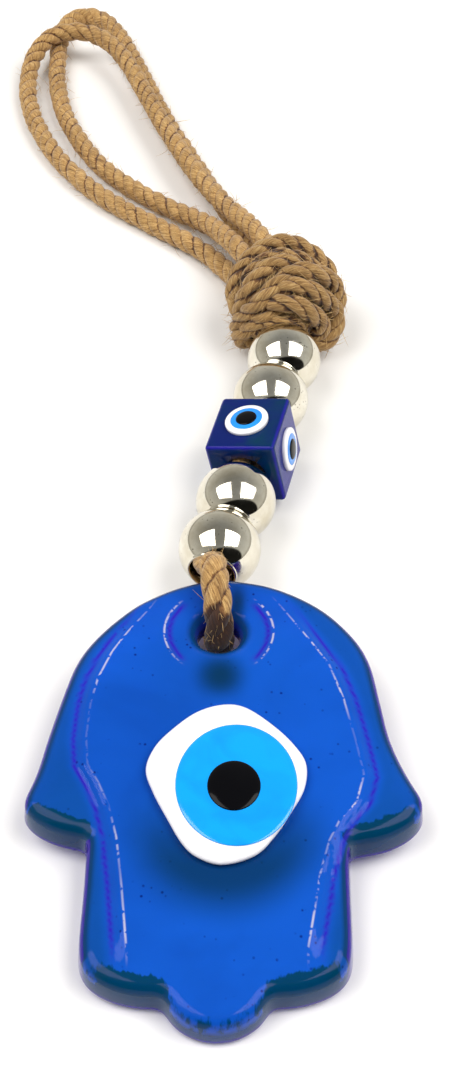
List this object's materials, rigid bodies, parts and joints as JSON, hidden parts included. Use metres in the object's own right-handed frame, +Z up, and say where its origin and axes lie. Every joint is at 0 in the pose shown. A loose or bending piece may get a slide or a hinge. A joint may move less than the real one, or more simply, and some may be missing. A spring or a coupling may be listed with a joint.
{
  "type": "evil eye ornament",
  "caption": "Flat blue glass hand with a glass eye on its palm, hung on jute rope with silver ball beads, a square glass eye bead, a round knot and a double hanging loop.",
  "frame": {"origin": "on the surface the ornament lies on, under the middle of the box around the hand, beads and knot, without the hanging loops", "axes": "+Z up from the surface, +Y from the fingertips along the ornament towards the hanging loops, +X to the right with the eye facing up"},
  "size_m": [0.1136, 0.3947, 0.0307],
  "materials": {
    "blue_glass": "moulded translucent cobalt glass with soft edges and small seeds",
    "dark_blue_glass": "translucent darker blue glass, slightly rounded edges",
    "white_glass": "opaque white glass enamel, glossy",
    "sky_blue_glass": "opaque sky-blue glass enamel, glossy",
    "black_glass": "opaque black glass, slightly domed",
    "silver": "bright silver plating",
    "jute_rope": "laid natural jute with loose fibres"
  },
  "bodies": {
    "hand": {"glass_hand": "blue_glass", "eye_white": "white_glass", "eye_iris": "sky_blue_glass", "eye_pupil": "black_glass"},
    "hand_loop": {"hand_loop": "jute_rope"},
    "string": {"bead_strand_front": "jute_rope", "bead_strand_back": "jute_rope", "knot": "jute_rope", "hanging_loop_outer": "jute_rope", "hanging_loop_inner": "jute_rope"},
    "silver_bead_1": {"silver_bead_1": "silver"},
    "silver_bead_2": {"silver_bead_2": "silver"},
    "silver_bead_3": {"silver_bead_3": "silver"},
    "silver_bead_4": {"silver_bead_4": "silver"},
    "cube_bead": {"cube_bead": "dark_blue_glass", "cube_eye_top_white": "white_glass", "cube_eye_top_blue": "sky_blue_glass", "cube_eye_top_pupil": "black_glass", "cube_eye_right_white": "white_glass", "cube_eye_right_blue": "sky_blue_glass", "cube_eye_right_pupil": "black_glass", "cube_eye_bottom_white": "white_glass", "cube_eye_bottom_blue": "sky_blue_glass", "cube_eye_bottom_pupil": "black_glass", "cube_eye_left_white": "white_glass", "cube_eye_left_blue": "sky_blue_glass", "cube_eye_left_pupil": "black_glass"}
  },
  "joints": [
    {"name": "hand_swing", "type": "hinge", "parent": "hand", "child": "hand_loop", "pos_m": [-0.00213, -0.01344, 0.0114], "axis": [1, 0, 0], "range_deg": [-95, 95]},
    {"name": "string_sway", "type": "hinge", "parent": "hand_loop", "child": "string", "pos_m": [-0.00328, -0.0047, 0.01187], "axis": [0, -0.068, 0.9977], "range_deg": [-8, 45]},
    {"name": "silver_bead_1_spin", "type": "hinge", "parent": "string", "child": "silver_bead_1", "pos_m": [-0.0012, 0.004, 0.0117], "axis": [0.2326, 0.9724, -0.0192], "continuous": true},
    {"name": "silver_bead_2_spin", "type": "hinge", "parent": "string", "child": "silver_bead_2", "pos_m": [0.00272, 0.02039, 0.01138], "axis": [0.2326, 0.9724, -0.0192], "continuous": true},
    {"name": "silver_bead_3_spin", "type": "hinge", "parent": "string", "child": "silver_bead_3", "pos_m": [0.012, 0.05918, 0.01061], "axis": [0.2326, 0.9724, -0.0192], "continuous": true},
    {"name": "silver_bead_4_spin", "type": "hinge", "parent": "string", "child": "silver_bead_4", "pos_m": [0.01592, 0.07557, 0.01029], "axis": [0.2326, 0.9724, -0.0192], "continuous": true},
    {"name": "cube_spin", "type": "hinge", "parent": "string", "child": "cube_bead", "pos_m": [0.00736, 0.03978, 0.01099], "axis": [0.2326, 0.9724, -0.0192], "continuous": true}
  ]
}
